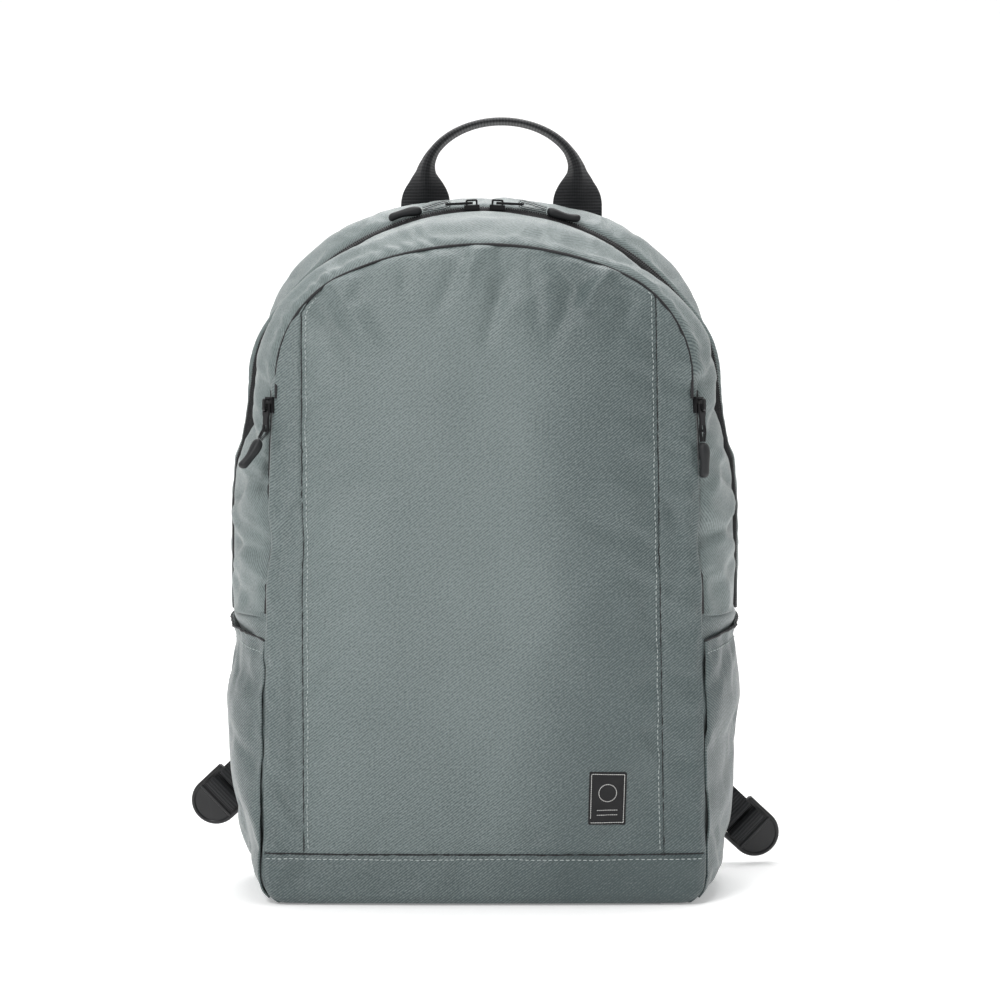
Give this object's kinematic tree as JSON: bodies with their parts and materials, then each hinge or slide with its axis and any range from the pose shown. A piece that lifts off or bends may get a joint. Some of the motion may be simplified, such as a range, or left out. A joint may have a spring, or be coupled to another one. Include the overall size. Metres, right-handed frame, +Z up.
{
  "type": "daypack",
  "caption": "Small rounded backpack with a zipped main compartment, front pocket, side pockets, grab handle and padded shoulder straps.",
  "frame": {"origin": "the floor under the middle of the pack's base", "axes": "+Z up, -Y towards the pack's front, +X to the right seen from the front"},
  "size_m": [0.3994, 0.193, 0.5105],
  "materials": {
    "shell_twill": "coated twill with a slight satin sheen",
    "lining": "plain woven lining",
    "zip_tape": "woven tape with nylon coil",
    "webbing": "ribbed webbing",
    "buckle_plastic": "moulded acetal, satin",
    "pull_rubber": "soft-touch moulded rubber",
    "slider_metal": "black lacquered die-cast metal",
    "back_mesh": "open spacer mesh over foam",
    "label_weave": "woven label with a pale border"
  },
  "bodies": {
    "pack": {"back_pad_left": "back_mesh", "back_pad_right": "back_mesh", "back_panel": "shell_twill", "base_panel": "shell_twill", "bottom_band": "shell_twill", "front_gusset": "shell_twill", "front_panel_centre": "shell_twill", "front_pocket_divider": "lining", "front_seam_piping": "shell_twill", "front_strip_left": "shell_twill", "front_strip_right": "shell_twill", "laptop_sleeve": "lining", "main_zip_front_half": "zip_tape", "main_zip_rear_half": "zip_tape", "pocket_zip_front_half_left": "zip_tape", "pocket_zip_front_half_right": "zip_tape", "pocket_zip_rear_half_left": "zip_tape", "pocket_zip_rear_half_right": "zip_tape", "rear_gusset": "shell_twill", "side_panel_left": "shell_twill", "side_panel_right": "shell_twill", "side_pocket_hem_left": "shell_twill", "side_pocket_hem_right": "shell_twill", "side_pocket_left": "shell_twill", "side_pocket_right": "shell_twill", "strap_tab_left": "webbing", "strap_tab_right": "webbing", "strap_webbing_left": "webbing", "strap_webbing_right": "webbing", "strap_yoke": "webbing", "woven_label": "label_weave"},
    "handle": {"grab_handle": "webbing"},
    "strap_left": {"strap_pad_left": "back_mesh"},
    "buckle_left": {"ladder_buckle_left": "buckle_plastic"},
    "main_slider_left": {"main_zip_left_slider": "slider_metal"},
    "main_tab_left": {"main_zip_left_tab": "slider_metal"},
    "main_pull_left": {"main_zip_left_cord": "webbing", "main_zip_left_grip": "pull_rubber"},
    "pocket_slider_left": {"pocket_zip_left_slider": "slider_metal"},
    "pocket_tab_left": {"pocket_zip_left_tab": "slider_metal"},
    "pocket_pull_left": {"pocket_zip_left_cord": "webbing", "pocket_zip_left_grip": "pull_rubber"},
    "strap_right": {"strap_pad_right": "back_mesh"},
    "buckle_right": {"ladder_buckle_right": "buckle_plastic"},
    "main_slider_right": {"main_zip_right_slider": "slider_metal"},
    "main_tab_right": {"main_zip_right_tab": "slider_metal"},
    "main_pull_right": {"main_zip_right_cord": "webbing", "main_zip_right_grip": "pull_rubber"},
    "pocket_slider_right": {"pocket_zip_right_slider": "slider_metal"},
    "pocket_tab_right": {"pocket_zip_right_tab": "slider_metal"},
    "pocket_pull_right": {"pocket_zip_right_cord": "webbing", "pocket_zip_right_grip": "pull_rubber"}
  },
  "joints": [
    {"name": "handle_fold", "type": "hinge", "parent": "pack", "child": "handle", "pos_m": [0, 0.0757, 0.435], "axis": [1, 0, 0], "range_deg": [-70, 12], "stiffness_Nm_per_rad": 0.06},
    {"name": "strap_swing_left", "type": "hinge", "parent": "pack", "child": "strap_left", "pos_m": [-0.038, 0.0845, 0.408], "axis": [1, 0, 0], "range_deg": [0, 12], "deforming": ["strap_webbing_left"]},
    {"name": "buckle_tilt_left", "type": "hinge", "parent": "pack", "child": "buckle_left", "pos_m": [-0.17, 0.082, 0.056], "axis": [0.6915, 0, -0.7224], "range_deg": [-9, 12], "stiffness_Nm_per_rad": 0.02, "deforming": ["strap_webbing_left"]},
    {"name": "main_slider_travel_left", "type": "hinge", "parent": "pack", "child": "main_slider_left", "pos_m": [0, 0.005, 0.274], "axis": [0, 1, 0], "range_deg": [-54, 0]},
    {"name": "main_tab_lift_left", "type": "hinge", "parent": "main_slider_left", "child": "main_tab_left", "pos_m": [-0.00838, 0.005, 0.44525], "axis": [0, -1, 0], "range_deg": [-100, 0]},
    {"name": "main_pull_swing_left", "type": "hinge", "parent": "main_tab_left", "child": "main_pull_left", "pos_m": [-0.02466, 0.005, 0.44445], "axis": [0, -1, 0], "range_deg": [-80, 0]},
    {"name": "pocket_slider_travel_left", "type": "slide", "parent": "pack", "child": "pocket_slider_left", "axis": [-0.0275, -0.0278, -0.9992], "range_m": [0, 0.115]},
    {"name": "pocket_tab_lift_left", "type": "hinge", "parent": "pocket_slider_left", "child": "pocket_tab_left", "pos_m": [-0.13704, -0.06577, 0.31613], "axis": [0.6346, -0.7728, 0.004], "range_deg": [-100, 0]},
    {"name": "pocket_pull_swing_left", "type": "hinge", "parent": "pocket_tab_left", "child": "pocket_pull_left", "pos_m": [-0.13749, -0.06622, 0.29985], "axis": [0.6346, -0.7728, 0.004], "range_deg": [-45, 38]},
    {"name": "strap_swing_right", "type": "hinge", "parent": "pack", "child": "strap_right", "pos_m": [0.038, 0.0845, 0.408], "axis": [1, 0, 0], "range_deg": [0, 12], "deforming": ["strap_webbing_right"]},
    {"name": "buckle_tilt_right", "type": "hinge", "parent": "pack", "child": "buckle_right", "pos_m": [0.17, 0.082, 0.034], "axis": [0.6915, 0, 0.7224], "range_deg": [-9, 12], "stiffness_Nm_per_rad": 0.02, "deforming": ["strap_webbing_right"]},
    {"name": "main_slider_travel_right", "type": "hinge", "parent": "pack", "child": "main_slider_right", "pos_m": [0, 0.005, 0.274], "axis": [0, 1, 0], "range_deg": [0, 54]},
    {"name": "main_tab_lift_right", "type": "hinge", "parent": "main_slider_right", "child": "main_tab_right", "pos_m": [0.00838, 0.005, 0.44525], "axis": [0, 1, 0], "range_deg": [-100, 0]},
    {"name": "main_pull_swing_right", "type": "hinge", "parent": "main_tab_right", "child": "main_pull_right", "pos_m": [0.02466, 0.005, 0.44445], "axis": [0, 1, 0], "range_deg": [-80, 0]},
    {"name": "pocket_slider_travel_right", "type": "slide", "parent": "pack", "child": "pocket_slider_right", "axis": [0.0275, -0.0278, -0.9992], "range_m": [0, 0.115]},
    {"name": "pocket_tab_lift_right", "type": "hinge", "parent": "pocket_slider_right", "child": "pocket_tab_right", "pos_m": [0.13704, -0.06577, 0.31613], "axis": [0.6346, 0.7728, -0.004], "range_deg": [-100, 0]},
    {"name": "pocket_pull_swing_right", "type": "hinge", "parent": "pocket_tab_right", "child": "pocket_pull_right", "pos_m": [0.13749, -0.06622, 0.29985], "axis": [0.6346, 0.7728, -0.004], "range_deg": [-80, 0]}
  ]
}
